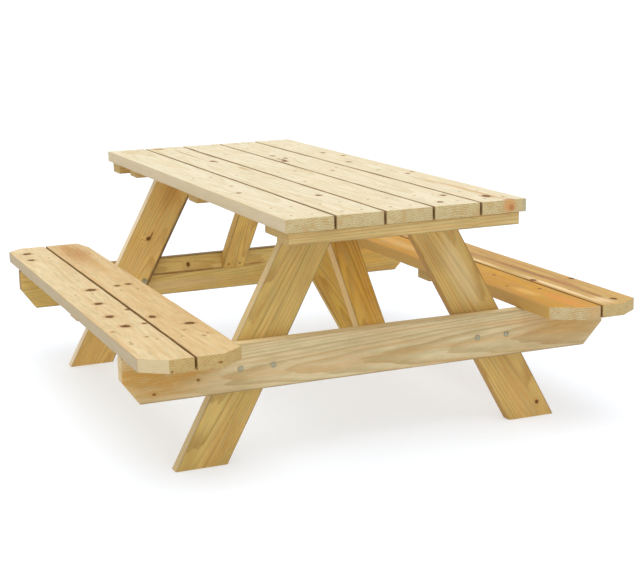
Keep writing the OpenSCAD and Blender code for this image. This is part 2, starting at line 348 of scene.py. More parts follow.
def sawn_ends(net, facing, place, shift, look, late, before):
    """End grain: darker rings, greyer wood, the saw's cross marks and a painted highlight on clipped
    corner faces.
    """
    colour, relief, rough = before
    end = net.ramp(net.math("ABSOLUTE", facing), 0.3, 0.55)
    pores = net.noise(net.vec("MULTIPLY", shift, (0.5, 0.5, 0.5)), 1.0, 3.0, 0.7)
    saw = net.noise(net.vec("MULTIPLY", shift, (0.02, 0.04, 0.55)), 1.0, 2.0)
    tone = net.noise(net.vec("MULTIPLY", shift, (0.05, 0.05, 0.05)), 1.0, 3.0, 0.6)
    depth = net.ramp(tone, 0.35, 0.65, 0.12, 0.62)
    rings = net.mix(net.math("MULTIPLY", late, depth), rgb(*look.end), rgb(146, 110, 60))
    rings = net.mix(net.ramp(pores, 0.35, 0.75, 0.0, 0.5), rings, rgb(150, 128, 80))
    flecks = net.noise(net.vec("MULTIPLY", shift, (0.22, 0.22, 0.22)), 1.0, 2.0, 0.6)
    rings = net.mix(net.ramp(flecks, 0.56, 0.74, 0.0, 0.5), rings, rgb(140, 98, 46))
    rings = net.mix(net.ramp(tone, 0.5, 0.68, 0.0, 0.4), rings, rgb(196, 152, 92))
    # painted highlight: clipped corner faces paler than the square ends, on boards whose clips face the
    # light
    if look.clip_highlight:
        clip_highlight_mask = net.ramp(net.math("ABSOLUTE", facing), 0.86, 0.97, look.clip_highlight, 0.0)
        rings = net.mix(clip_highlight_mask, rings, rgb(232, 218, 186))
    for middle, reach, depth, tint in look.end_marks:
        step = net.vec("SUBTRACT", place, middle)
        step = net.vec("MULTIPLY", step, (1 / reach[0], 1 / reach[1], 1 / reach[2]))
        away_mark = net.math("ADD", net.vec("LENGTH", step), net.math("MULTIPLY", tone, 0.8))
        rings = net.mix(net.ramp(away_mark, 0.8, 1.5, depth, 0.0), rings, rgb(*tint))
    colour = net.mix(end, colour, rings)
    marks = net.math("MULTIPLY", net.math("ADD", saw, pores), end)
    relief = net.math("ADD", relief, net.math("MULTIPLY", marks, 1.3))
    rough = net.math("ADD", rough, net.math("MULTIPLY", end, 0.2))
    return colour, relief, rough


def worn_edges_painted_shade_and_light(net, place, shift, half, colour, look):
    """Long edges are darker and duller, more in some places: partly worn, partly painted shade of the
    eased edges. Listed narrow faces are then tinted whole: most get painted shade, on faces in the gaps,
    underneath or turned away from the light, and some get painted light, on faces turned to it.
    """
    split = net.add("ShaderNodeSeparateXYZ")
    net.put(split.inputs[0], net.vec("ABSOLUTE", place))
    signed = net.add("ShaderNodeSeparateXYZ")
    net.put(signed.inputs[0], place)
    in_y = net.math("SUBTRACT", half[0], split.outputs[1])
    in_z = net.math("SUBTRACT", half[1], split.outputs[2])
    reach = net.math("MAXIMUM", in_y, in_z)
    patchy = net.noise(net.vec("MULTIPLY", shift, (0.012, 0.06, 0.06)), 1.0, 3.0, 0.65)
    reach = net.math("SUBTRACT", reach, net.math("MULTIPLY", patchy, 6.0))
    # darker long edges: partly wear, partly painted shade
    edge = net.ramp(reach, -2.0, 3.0, look.edge_wear_and_shade, 0.0)
    colour = net.mix(edge, colour, rgb(*look.edge))
    # whole narrow faces: painted shade on most, painted light on some
    for side, depth, tint in look.sides:
        out_to = net.math("MULTIPLY", signed.outputs[1], side)
        out_to = net.math("ADD", out_to, net.math("MULTIPLY", patchy, 3.0))
        mask = net.ramp(out_to, half[0] - 1.6, half[0] + 0.6, 0.0, depth)
        colour = net.mix(mask, colour, rgb(*tint))
    return colour


# ---- board meshes ----


def section(width, thick, radii):
    """Outline of a board across its length, with its four long edges rounded."""
    arc_steps = 4
    corners = ((1, 1), (-1, 1), (-1, -1), (1, -1))
    fill = {(1, 1): 8, (-1, 1): 2, (-1, -1): 8, (1, -1): 2}
    points = []
    for index, (sy, sz) in enumerate(corners):
        radius = radii[index]
        start = index * math.pi / 2
        centre = (sy * (width / 2 - radius), sz * (thick / 2 - radius))
        for step in range(arc_steps + 1):
            turn = start + step * math.pi / 2 / arc_steps
            points.append((centre[0] + radius * math.cos(turn), centre[1] + radius * math.sin(turn)))
        after = corners[(index + 1) % 4]
        next_r = radii[(index + 1) % 4]
        stop_turn = start + math.pi / 2
        goal = (after[0] * (width / 2 - next_r) + next_r * math.cos(stop_turn),
                after[1] * (thick / 2 - next_r) + next_r * math.sin(stop_turn))
        last = points[-1]
        count = fill[(sy, sz)]
        for step in range(1, count):
            share = step / count
            points.append((last[0] + (goal[0] - last[0]) * share, last[1] + (goal[1] - last[1]) * share))
    return points


def sway(x, seed, speed):
    """Slow unevenness along a board, from about -1 to 1."""
    return noise.noise(Vector((x * speed + seed * 7.31, seed * 3.17, 0.5)))


def loft(bm, length, width, thick, seed, wane):
    """Long board with uneven edges and faces, a little longer than it ends up."""
    over = 0.06
    station = 0.035
    count = max(6, round((length + 2 * over) / station))
    rings = []
    for step in range(count + 1):
        x = -length / 2 - over + (length + 2 * over) * step / count
        radii = []
        for corner in range(4):
            low, high = wane.get(corner, (0.0024, 0.0042))
            share = 0.5 + 0.9 * sway(x, seed + corner * 11, 9.0)
            radii.append(low + (high - low) * min(1.0, max(0.0, share)))
        ring = []
        for y, z in section(width, thick, radii):
            place = Vector((x * 5 + seed * 13.7, y * 22, z * 22 + seed))
            lift = 0.00045 * noise.noise(place)
            cup = 0.0003 * (1 - (2 * y / width) ** 2) * sway(x, seed + 5, 1.2)
            inside = 0.0002
            ring.append(bm.verts.new((
                x,
                y * (1 - 2 * inside / width) + lift * (1 if y > 0 else -1),
                z * (1 - 2 * inside / thick) + lift * (1 if z > 0 else -1) + cup,
            )))
        rings.append(ring)
    for before, after in zip(rings, rings[1:]):
        size = len(before)
        for index in range(size):
            nxt = (index + 1) % size
            bm.faces.new((before[index], after[index], after[nxt], before[nxt]))
    bm.faces.new(rings[0])
    bm.faces.new(list(reversed(rings[-1])))
    bmesh.ops.recalc_face_normals(bm, faces=bm.faces)


def slice_off(bm, point, normal):
    """Cuts away what lies beyond a plane and closes the board again."""
    everything = bm.verts[:] + bm.edges[:] + bm.faces[:]
    bmesh.ops.bisect_plane(
        bm, geom=everything, dist=1e-6, plane_co=point, plane_no=normal, clear_outer=True
    )
    rim = [edge for edge in bm.edges if edge.is_boundary]
    bmesh.ops.edgeloop_fill(bm, edges=rim)
    bmesh.ops.recalc_face_normals(bm, faces=bm.faces)


def soften_cuts(bm, size):
    """Breaks the sharp edges that the saw left."""
    sharp = [
        edge for edge in bm.edges
        if len(edge.link_faces) == 2 and edge.calc_face_angle(0) > 0.62
    ]
    bmesh.ops.bevel(
        bm, geom=sharp, offset=size, offset_type="OFFSET", segments=2, profile=0.6,
        affect="EDGES", clamp_overlap=True,
    )


def finish_object(name, bm, material):
    """Makes a smooth-shaded object of a mesh, with its sharp edges kept."""
    mesh = bpy.data.meshes.new(name)
    bm.to_mesh(mesh)
    bm.free()
    mesh.materials.append(material)
    mesh.shade_smooth()
    mesh.set_sharp_from_angle(angle=math.radians(34))
    piece = bpy.data.objects.new(name, mesh)
    bpy.context.scene.collection.objects.link(piece)
    return piece


def axes(along, across, centre):
    """Matrix whose local x runs along a board and local y across it."""
    along = Vector(along).normalized()
    across = Vector(across).normalized()
    through = along.cross(across)
    turn = Matrix((along, across, through)).transposed()
    return Matrix.Translation(centre) @ turn.to_4x4()


def cut_holes(piece, cutter):
    """Takes the cutter's shape out of a piece, then removes the cutter."""
    change = piece.modifiers.new("holes", "BOOLEAN")
    change.object = cutter
    change.solver = "EXACT"
    bpy.context.view_layer.update()
    graph = bpy.context.evaluated_depsgraph_get()
    made = bpy.data.meshes.new_from_object(piece.evaluated_get(graph))
    piece.modifiers.clear()
    old = piece.data
    piece.data = made
    made.name = piece.name
    bpy.data.meshes.remove(old)
    bpy.data.objects.remove(cutter)


BOARDS = {}


def board(node, look, matrix, size, cuts, wane=None):
    """One wooden board in place of its CAD node. cuts are planes in the table's own frame."""
    seed = len(BOARDS) + 1
    length, width, thick = size
    bm = bmesh.new()
    loft(bm, length, width, thick, seed, wane or {})
    to_local = matrix.inverted()
    for point, normal in cuts:
        local_normal = to_local.to_3x3() @ Vector(normal).normalized()
        slice_off(bm, to_local @ Vector(point), local_normal)
    soften_cuts(bm, 0.0011)
    half = (width / 2 / MM, thick / 2 / MM)
    bm.transform(matrix)
    material = pine("wood_" + node, look, half, seed, matrix)
    piece = finish_object("wood_" + node, bm, material)
    BOARDS[node] = piece
    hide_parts(node)
    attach(piece, BODY)
    return piece


def skewed(direction, seed):
    """A saw cut is never quite square."""
    tilt = Vector((sway(0.3, seed, 1.0), sway(0.7, seed + 3, 1.0), sway(0.1, seed + 6, 1.0)))
    return (Vector(direction) + 0.006 * tilt).normalized()


def along_y(node, look, more_cuts=()):
    """A flat board that runs from front to back."""
    low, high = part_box(node)
    middle = (low + high) / 2
    size = (high.y - low.y, high.x - low.x, high.z - low.z)
    seed = len(BOARDS)
    cuts = [
        (Vector((middle.x, low.y, middle.z)), skewed(-Y_AXIS, seed)),
        (Vector((middle.x, high.y, middle.z)), skewed(Y_AXIS, seed + 1)),
    ]
    return board(node, look, axes(Y_AXIS, -X_AXIS, middle), size, cuts + list(more_cuts))


def along_x(node, look):
    """A flat board that runs from left to right."""
    low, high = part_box(node)
    middle = (low + high) / 2
    size = (high.x - low.x, high.y - low.y, high.z - low.z)
    seed = len(BOARDS)
    cuts = [
        (Vector((low.x, middle.y, middle.z)), skewed(-X_AXIS, seed)),
        (Vector((high.x, middle.y, middle.z)), skewed(X_AXIS, seed + 1)),
    ]
    return board(node, look, axes(X_AXIS, Y_AXIS, middle), size, cuts)


def beam(node, look):
    """A seat beam, with its lower corners bevelled."""
    low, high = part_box(node)
    middle = (low + high) / 2
    size = (high.x - low.x, high.z - low.z, high.y - low.y)
    cuts = [
        (Vector((low.x, middle.y, middle.z)), -X_AXIS),
        (Vector((high.x, middle.y, middle.z)), X_AXIS),
    ]
    for edge, side, run in ((low.x, -1, BEVEL_LEFT), (high.x, 1, BEVEL_RIGHT)):
        start = Vector((edge, middle.y, low.z + BEVEL_UP * MM))
        cuts.append((start, Vector((side * BEVEL_UP, 0, -run))))
    return board(node, look, axes(X_AXIS, Z_AXIS, middle), size, cuts)


def leg(node, side, look, wane=None):
    """A leg that leans towards the middle. side is -1 on the left and 1 on the right."""
    low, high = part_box(node)
    middle = (low + high) / 2
    along = Vector((-side * math.sin(LEG_LEAN), 0, math.cos(LEG_LEAN)))
    across = (-Y_AXIS).cross(along)
    size = ((high.z - low.z) / math.cos(LEG_LEAN) + LEG_W * MM, LEG_W * MM, high.y - low.y)
    cuts = [
        (Vector((middle.x, middle.y, low.z)), -Z_AXIS),
        (Vector((middle.x, middle.y, high.z)), Z_AXIS),
    ]
    return board(node, look, axes(along, across, middle), size, cuts, wane)


def brace(node, end, look):
    """A brace that rises from a seat beam to the top. end is -1 at the front."""
    low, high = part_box(node)
    middle_x = (low.x + high.x) / 2
    foot_y = low.y if end < 0 else high.y
    top_y = high.y if end < 0 else low.y
    thick = BOARD_T * MM
    foot = Vector((middle_x, foot_y, low.z + thick / math.cos(BRACE_SLOPE) / 2))
    top = Vector((middle_x, top_y + end * thick / math.sin(BRACE_SLOPE) / 2, high.z))
    along = (top - foot).normalized()
    size = ((top - foot).length + 2 * thick, high.x - low.x, thick)
    cuts = [(foot, Vector((0, end, 0))), (top, Z_AXIS)]
    return board(node, look, axes(along, X_AXIS, (foot + top) / 2), size, cuts)


def bench(node, side, outer, look):
    """A bench board with two clipped corners, on its outer edge where outer is 1
    and on its inner edge where outer is -1. side is -1 on the left."""
    low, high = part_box(node)
    edge = high.x if side * outer > 0 else low.x
    point_to = side * outer
    cuts = []
    for end, start_y, (across, along) in (
        (-1, low.y, CLIPS[node][:2]),
        (1, high.y, CLIPS[node][2:]),
    ):
        corner = Vector((edge - point_to * across * MM, start_y, low.z))
        cuts.append((corner, Vector((point_to * along, end * across, 0))))
    return along_y(node, look, cuts)


# ---- looks of the boards ----

CREAM = (233, 224, 197)
TAN = (205, 182, 130)
TOP = dict(end=(206, 188, 140), contrast=0.46, streak=0.34, patch=0.2, gap=7.0,
           warm=(228, 192, 140), rugged=0.28)
BENCH = dict(end=(208, 188, 142), contrast=0.42, streak=0.38, patch=0.28, gap=6.5, rugged=0.4)
LEFT_BENCH = dict(BENCH, end=(200, 172, 112))
RIGHT_BENCH = dict(BENCH, end=(202, 178, 124))
# frame boards: darker long edges, partly wear and partly painted shade
FRAME = dict(end=(168, 132, 78), contrast=0.72, streak=0.45, patch=0.42, gap=6.5, rugged=0.36,
             edge_wear_and_shade=0.6, edge=(128, 92, 40))
BEAM = dict(FRAME, end=(222, 198, 150))
CLEATS = dict(FRAME, end=(200, 172, 112))
# painted shade: dark brown for narrow faces underneath, inside the frame or turned away from the light
SHADE_TINT = (84, 54, 20)
# painted shade on the narrow faces along the gaps between boards
GAP_SHADE_TINT = (128, 90, 40)
GAP_SHADE_LEFT = (1, 0.85, GAP_SHADE_TINT)
GAP_SHADE_RIGHT = (-1, 0.85, GAP_SHADE_TINT)
# light painted shade on the -y narrow face: a top board's far right side, a beam's underside
PAINTED_SHADE_RIGHT = (-1, 0.2, SHADE_TINT)
# painted light: pale tint on a leg's left narrow face, which faces the light
PAINTED_LIGHT_LEFT = (1, 0.7, (242, 228, 198))

# tabletop boards; their gap sides carry painted shade
along_y("top_board_1", Look(
    CREAM, TAN, pith=(-20, -120), tilt=(0.003, 0.016),
    # painted shade on its outer left narrow face, and in the gap on its right
    sides=((1, 0.6, (188, 168, 132)), GAP_SHADE_RIGHT),
    knots=((-380, 10, 10, 8, 0.9), (-230, -20, 7, 5, 0.5)),
    bands=(((820, 10), (90, 40), 0.5, (206, 176, 112)),), **TOP))
along_y("top_board_2", Look(
    CREAM, TAN, pith=(30, -80), tilt=(0.01, -0.02), sides=(GAP_SHADE_LEFT, GAP_SHADE_RIGHT),
    knots=((400, -25, 15, 11, 1.0), (-550, -30, 13, 10, 1.0), (380, -30, 20, 3, 0.8)),
    bands=(((870, 35), (30, 40), 0.9, (176, 132, 62)), ((640, -10), (250, 5), 0.9, (176, 134, 66)),
           ((150, -50), (90, 12), 0.8, (186, 146, 74)), ((620, -65), (260, 6), 0.7, (150, 112, 50))),
    **TOP))
along_y("top_board_3", Look(
    CREAM, TAN, pith=(-40, -150), tilt=(-0.004, 0.02), sides=(GAP_SHADE_LEFT, GAP_SHADE_RIGHT),
    knots=((560, 20, 6, 5, 0.5), (-250, 40, 6, 5, 0.4)), **TOP))
along_y("top_board_4", Look(
    CREAM, TAN, pith=(10, -100), tilt=(0.006, 0.018), sides=(GAP_SHADE_LEFT, GAP_SHADE_RIGHT),
    knots=((260, 55, 18, 9, 1.0), (290, 45, 30, 5, 1.0), (340, 20, 14, 6, 1.0),
           (330, 50, 12, 5, 0.8), (430, 35, 14, 8, 0.9), (-740, -45, 12, 9, 0.9),
           (-850, 20, 11, 8, 0.9), (-60, 10, 9, 6, 0.5)), **TOP))
along_y("top_board_5", Look(
    CREAM, TAN, pith=(0, -70), tilt=(0.0, 0.024), sides=(GAP_SHADE_LEFT, PAINTED_SHADE_RIGHT),
    knots=((-820, 5, 20, 13, 1.0), (120, 20, 12, 9, 0.9), (420, -10, 11, 8, 0.9),
           (300, -40, 9, 8, 0.9), (-260, -20, 12, 6, 0.9), (-230, -50, 14, 5, 0.7),
           (-130, 25, 7, 6, 0.5)),
    bands=(((-700, -10), (320, 12), 0.75, (206, 152, 84)), ((-914, -20), (26, 20), 0.8, (176, 96, 42)),
           ((-420, 5), (200, 8), 0.5, (206, 160, 96))),
    end_marks=(((-914, -18, 2), (90, 26, 26), 0.75, (202, 140, 80)),
               ((-914, -24, -4), (90, 12, 12), 0.6, (166, 98, 50)),
               ((-914, -66, 0), (90, 9, 30), 0.6, (172, 166, 140))), **TOP))

CLEAT = (214, 188, 126)
CLEAT_LATE = (176, 138, 72)
for cleat in ("front_outer", "front_inner", "centre", "back_inner", "back_outer"):
    along_x("cleat_" + cleat, Look(
        CLEAT, CLEAT_LATE, pith=(20, -60), tilt=(0.01, 0.03),
        knots=((-150, 20, 9, 8, 0.7), (210, -25, 8, 7, 0.6)), **CLEATS))
for side in ("left", "right"):
    along_x("seat_batten_" + side, Look(
        CLEAT, CLEAT_LATE, pith=(15, -50), tilt=(0.01, 0.02), **CLEATS))

# bench boards; their gap sides carry painted shade
bench("bench_left_outer", -1, 1, Look(
    (230, 212, 170), (200, 162, 102), pith=(25, -110), tilt=(0.004, 0.014),
    # painted shade on its outer left narrow face and in the gap on its right; painted highlight on its
    # clipped corners
    sides=((1, 0.75, (166, 148, 118)), GAP_SHADE_RIGHT), clip_highlight=0.4,
    end_marks=(((-914, -8, -14), (60, 4, 4), 0.9, (110, 64, 24)),),
    knots=((790, 20, 17, 16, 1.0), (660, 30, 14, 13, 1.0), (50, -35, 17, 17, 1.0),
           (-160, -5, 15, 14, 1.0), (-350, 10, 16, 14, 1.0), (-490, 0, 17, 15, 1.0),
           (-540, 50, 7, 6, 0.5), (-280, -65, 10, 8, 0.9), (-480, -60, 10, 8, 0.9),
           (-640, -20, 5, 5, 0.6), (-700, 40, 5, 4, 0.5)), **LEFT_BENCH))
bench("bench_left_inner", -1, -1, Look(
    (228, 204, 156), (198, 156, 94), pith=(-30, -90), tilt=(0.006, 0.02), sides=(GAP_SHADE_LEFT,),
    end_marks=(((-914, 6, -4), (60, 9, 4), 0.9, (136, 80, 26)),),
    knots=((75, 20, 14, 10, 0.9), (85, -20, 14, 10, 0.9), (-410, 45, 16, 12, 1.0),
           (-540, -30, 14, 16, 1.0), (-700, -20, 6, 5, 0.4), (-610, 10, 5, 5, 0.4)),
    bands=(((720, 10), (320, 70), 0.85, (184, 126, 50)), ((420, -10), (260, 22), 0.5, (208, 160, 90)),
           ((-360, 20), (120, 10), 0.5, (204, 158, 88))), **LEFT_BENCH))
bench("bench_right_inner", 1, -1, Look(
    (210, 156, 30), (172, 106, 14), pith=(-20, -100), tilt=(0.004, 0.018),
    sides=((1, 0.85, (198, 162, 94)), GAP_SHADE_RIGHT),
    knots=((-300, 10, 8, 6, 1.0), (-370, -20, 8, 6, 1.0), (-620, -40, 8, 6, 0.9),
           (-540, 30, 8, 5, 0.8), (-60, 20, 14, 5, 1.0), (-110, -10, 16, 4, 1.0),
           (-180, 25, 14, 4, 0.9), (-230, -30, 12, 4, 0.8)),
    bands=(((-110, 10), (170, 40), 0.7, (178, 92, 34)), ((-800, -20), (150, 34), 0.8, (222, 142, 56)),
           ((-640, 20), (90, 30), 0.5, (236, 190, 110)), ((300, 0), (300, 40), 0.5, (232, 190, 120))),
    end_marks=(((-914, -50, 0), (90, 24, 26), 0.4, (200, 146, 84)),), **BENCH))
bench("bench_right_outer", 1, 1, Look(
    (208, 170, 94), (158, 106, 44), pith=(10, -80), tilt=(0.002, 0.02), sides=(GAP_SHADE_LEFT,),
    knots=((-540, -60, 13, 10, 1.0), (-850, -10, 14, 10, 1.0), (-500, 60, 14, 10, 1.0)),
    bands=(((-360, 5), (560, 18), 0.9, (150, 98, 50)), ((-560, -5), (120, 30), 0.6, (180, 108, 62)),
           ((60, 25), (300, 14), 0.8, (164, 104, 58)), ((-760, 10), (150, 8), 0.8, (140, 92, 50)),
           ((-300, -40), (420, 10), 0.8, (184, 134, 76)), ((-620, 50), (280, 18), 0.85, (252, 226, 178)),
           ((-850, 30), (70, 40), 0.6, (250, 224, 176)), ((-100, 55), (260, 12), 0.7, (250, 222, 172))),
    **RIGHT_BENCH))

leg("leg_front_left", -1, Look(
    (214, 184, 106), (160, 122, 50), pith=(60, -70), tilt=(0.02, 0.05),
    bands=(((60, -10), (260, 16), 0.5, (176, 142, 76)), ((-330, -20), (160, 40), 0.45, (190, 136, 68)),
           ((300, 30), (120, 24), 0.45, (196, 164, 100))),
    # painted light on its left narrow face, painted shade on its inner one
    sides=((1, 0.3, (240, 226, 192)), (-1, 0.3, SHADE_TINT)), **FRAME))
leg("leg_front_right", 1, Look(
    (216, 182, 106), (170, 126, 54), pith=(-50, -90), tilt=(0.01, 0.04),
    # painted shade on its inner narrow face, which faces down and away from the light
    sides=((1, 0.6, (160, 112, 44)),), knots=((-370, -40, 7, 6, 1.0),),
    bands=(((150, -10), (150, 44), 0.42, (231, 210, 164)), ((-330, 0), (150, 60), 0.5, (206, 160, 92)),
           ((250, 40), (90, 26), 0.5, (176, 130, 62))), **FRAME), wane={0: (0.009, 0.013)})
leg("leg_back_left", -1, Look(
    (226, 190, 112), (190, 140, 66), pith=(-40, 80), tilt=(0.01, 0.05),
    # painted light on its left narrow face, painted shade on its inner one
    sides=(PAINTED_LIGHT_LEFT, (-1, 0.5, SHADE_TINT)),
    knots=((105, 5, 9, 8, 1.0), (120, 0, 14, 3, 0.8)),
    bands=(((150, -65), (460, 9), 0.95, (88, 50, 14)), ((300, 0), (120, 40), 0.6, (176, 120, 50)),
           ((-60, 10), (150, 30), 0.4, (208, 172, 110))), **FRAME))
leg("leg_back_right", 1, Look(
    (214, 178, 78), (168, 116, 34), pith=(40, 90), tilt=(0.02, 0.04), **FRAME))
beam("seat_beam_front", Look(
    (218, 200, 158), (172, 142, 88), pith=(-30, -75), tilt=(0.012, 0.03),
    # painted light on its top narrow face, painted shade on its underside
    sides=((1, 0.5, (246, 226, 176)), PAINTED_SHADE_RIGHT),
    bands=(((-680, 0), (220, 80), 0.92, (192, 141, 54)), ((640, 0), (170, 56), 0.7, (200, 156, 76))),
    knots=((-560, -20, 5, 4, 0.8), (-690, -45, 6, 4, 0.8), (-520, 10, 4, 3, 0.6)), **BEAM))
beam("seat_beam_back", Look(
    (224, 198, 120), (180, 138, 58), pith=(30, 80), tilt=(0.01, 0.03),
    # its top narrow face darkened with the same dark brown; painted shade on its underside
    sides=((1, 0.5, SHADE_TINT), PAINTED_SHADE_RIGHT), knots=((-150, 35, 7, 9, 1.0),),
    bands=(((-190, 10), (300, 6), 0.9, (132, 70, 20)), ((-190, -35), (260, 26), 0.5, (226, 190, 146)),
           ((560, 0), (200, 60), 0.6, (246, 194, 78)), ((120, 15), (60, 4), 0.7, (150, 90, 34))),
    **FRAME))
brace("brace_front", -1, Look(
    (242, 198, 92), (184, 124, 40), pith=(-20, 60), tilt=(0.02, 0.04),
    # painted light on its left narrow face, painted shadow towards its top under the tabletop
    sides=((-1, 0.45, (234, 210, 164)),), fade=(0, 260, 0.7, (168, 108, 62)), **FRAME))
brace("brace_back", 1, Look(
    (224, 186, 94), (168, 118, 42), pith=(30, -60), tilt=(0.02, 0.04), **FRAME))


# ---- fasteners ----


def solids(node):
    """The separate solids of a CAD node: one array of points for each."""
    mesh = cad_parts[node].data
    points = np.array([vertex.co for vertex in mesh.vertices])
    keys = {}
    same = []
    for point in np.round(points, 6):
        same.append(keys.setdefault(tuple(point), len(keys)))
    parent = list(range(len(keys)))

    def root(item):
        while parent[item] != item:
            parent[item] = parent[parent[item]]
            item = parent[item]
        return item

    for edge in mesh.edges:
        first, second = (root(same[index]) for index in edge.vertices)
        if first != second:
            parent[first] = second
    groups = {}
    for index, item in enumerate(same):
        groups.setdefault(root(item), []).append(index)
    found = [points[rows] for rows in groups.values()]
    return sorted(found, key=lambda rows: tuple(np.round(rows.mean(0), 4)))


def shaft(rows):
    """Where a screw or bolt has its head's face, and the way it points from tip to head."""
    low, high = rows.min(0), rows.max(0)
    axis = int(np.argmax(high - low))
    middle = (low + high) / 2
    spread = []
    for edge in (low[axis], high[axis]):
        near = rows[np.abs(rows[:, axis] - edge) < 0.0032]
        off = np.delete(near - middle, axis, 1)
        spread.append(np.abs(off).max())
    side = 1 if spread[1] > spread[0] else -1
    face = middle.copy()
    face[axis] = high[axis] if side > 0 else low[axis]
    way = np.zeros(3)
    way[axis] = side
    return Vector(face), Vector(way), (high - low)[axis]


def pointing(way, spot, spin=0.0):
    """Matrix that puts a part made along +Z at spot, pointing along way."""
    turn = Z_AXIS.rotation_difference(way).to_matrix().to_4x4()
    return Matrix.Translation(spot) @ turn @ Matrix.Rotation(spin, 4, "Z")


def revolve(bm, profile, sides, matrix, radius_at=None):
    """Turned solid from (radius, height) pairs that start and end on the axis."""
    rings = []
    for radius, height in profile:
        if radius == 0:
            rings.append([bm.verts.new(matrix @ Vector((0, 0, height)))])
            continue
        ring = []
        for index in range(sides):
            turn = index * 2 * math.pi / sides
            reach = radius if radius_at is None else radius_at(radius, turn)
            spot = Vector((reach * math.cos(turn), reach * math.sin(turn), height))
            ring.append(bm.verts.new(matrix @ spot))
        rings.append(ring)
    for before, after in zip(rings, rings[1:]):
        for index in range(sides):
            nxt = (index + 1) % sides
            if len(before) == 1:
                bm.faces.new((before[0], after[nxt], after[index]))
            elif len(after) == 1:
                bm.faces.new((before[index], before[nxt], after[0]))
            else:
                bm.faces.new((before[index], before[nxt], after[nxt], after[index]))


def tube(bm, profile, sides, matrix, radius_at=None):
    """Turned ring: a closed outline of (radius, height) pairs off the axis."""
    rings = []
    for radius, height in profile:
        ring = []
        for index in range(sides):
            turn = index * 2 * math.pi / sides
            reach = radius if radius_at is None else radius_at(radius, turn)
            spot = Vector((reach * math.cos(turn), reach * math.sin(turn), height))
            ring.append(bm.verts.new(matrix @ spot))
        rings.append(ring)
    for before, after in zip(rings, rings[1:] + rings[:1]):
        for index in range(sides):
            nxt = (index + 1) % sides
            bm.faces.new((before[index], before[nxt], after[nxt], after[index]))


def metal(name, base, dark, low_rough, spangle):
    """Zinc or coated steel with mottling, dirt and fine scratches."""
    material = bpy.data.materials.new(name)
    net = Net(material)
    coords = net.add("ShaderNodeTexCoord")
    place = coords.outputs["Object"]
    cells = net.add("ShaderNodeTexVoronoi")
    net.put(cells.inputs["Vector"], place)
    cells.inputs["Scale"].default_value = spangle
    tone = net.add("ShaderNodeSeparateColor")
    net.put(tone.inputs[0], cells.outputs["Color"])
    dirt = net.noise(place, 260.0, 4.0, 0.6)
    colour = net.mix(net.ramp(tone.outputs[0], 0.0, 1.0, 0.0, 0.35), rgb(*base), rgb(*dark))
    colour = net.mix(net.ramp(dirt, 0.48, 0.72, 0.0, 0.6), colour, rgb(*dark))
    surface = net.add("ShaderNodeBsdfPrincipled")
    surface.inputs["Metallic"].default_value = 0.85
    net.put(surface.inputs["Base Color"], colour)
    net.put(surface.inputs["Roughness"], net.ramp(dirt, 0.3, 0.75, low_rough, low_rough + 0.3))
    scratches = net.noise(net.vec("MULTIPLY", place, (900, 200, 900)), 1.0, 3.0, 0.7)
    net.put(surface.inputs["Normal"], net.bump(net.math("ADD", dirt, scratches), 0.25, 0.0002))
    out = net.add("ShaderNodeOutputMaterial")
    net.put(out.inputs["Surface"], surface.outputs[0])
    return material


def hexagon(radius, turn):
    """Radius of a hexagon's outline: its flats are at the given radius."""
    step = math.pi / 3
    off = (turn + step / 2) % step - step / 2
    return radius / math.cos(off)


def fastener_piece(node, bm, material):
    """Turns a finished mesh into the piece that stands for a CAD node."""
    bmesh.ops.recalc_face_normals(bm, faces=bm.faces)
    piece = finish_object("metal_" + node, bm, material)
    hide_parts(node)
    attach(piece, BODY)
    return piece


# the bolts' threads, in metres
THREAD_LENGTH = 0.030
THREAD_PITCH = 0.0015
THREAD_DEPTH = 0.0008


def make_bolts(material):
    """Carriage bolts: a domed head, a plain shank and a threaded end. Returns their holes."""
    bm = bmesh.new()
    holes = []
    for rows in solids("carriage_bolts"):
        face, way, length = shaft(rows)
        holes.append((bolt_hole(length), face, way, length))
        dome, rim, shank = 0.0045, 0.0085, 0.004
        profile = [(0, 0)]
        arc = math.radians(72)
        for step in range(1, 9):
            turn = step * arc / 8
            profile.append((rim * math.sin(turn) / math.sin(arc),
                            -(1 - math.cos(turn)) * dome * 1.15))
        profile += [(rim + 0.0001, -dome + 0.0006), (rim - 0.0003, -dome), (shank, -dome)]
        start = THREAD_LENGTH - length
        profile += [(shank, start)]
        turns = int((length + start - 0.001) / THREAD_PITCH)
        for index in range(turns):
            profile.append((shank - THREAD_DEPTH, start - (index + 0.5) * THREAD_PITCH))
            profile.append((shank, start - (index + 1) * THREAD_PITCH))
        profile += [(shank - 0.001, -length), (0, -length)]
        revolve(bm, profile, 36, pointing(way, face))
    fastener_piece("carriage_bolts", bm, material)
    return holes


def make_washers(material):
    """Round washers with a small bevel."""
    bm = bmesh.new()
    for rows in solids("bolt_washers"):
        low, high = Vector(rows.min(0)), Vector(rows.max(0))
        middle = (low + high) / 2
        thick = high.y - low.y
        outer, inner, ease = (high.x - low.x) / 2, 0.0044, 0.0004
        profile = [(inner, -thick / 2), (outer - ease, -thick / 2), (outer, -thick / 2 + ease),
                   (outer, thick / 2 - ease), (outer - ease, thick / 2), (inner, thick / 2)]
        tube(bm, profile, 40, pointing(Y_AXIS, middle))
    return fastener_piece("bolt_washers", bm, material)


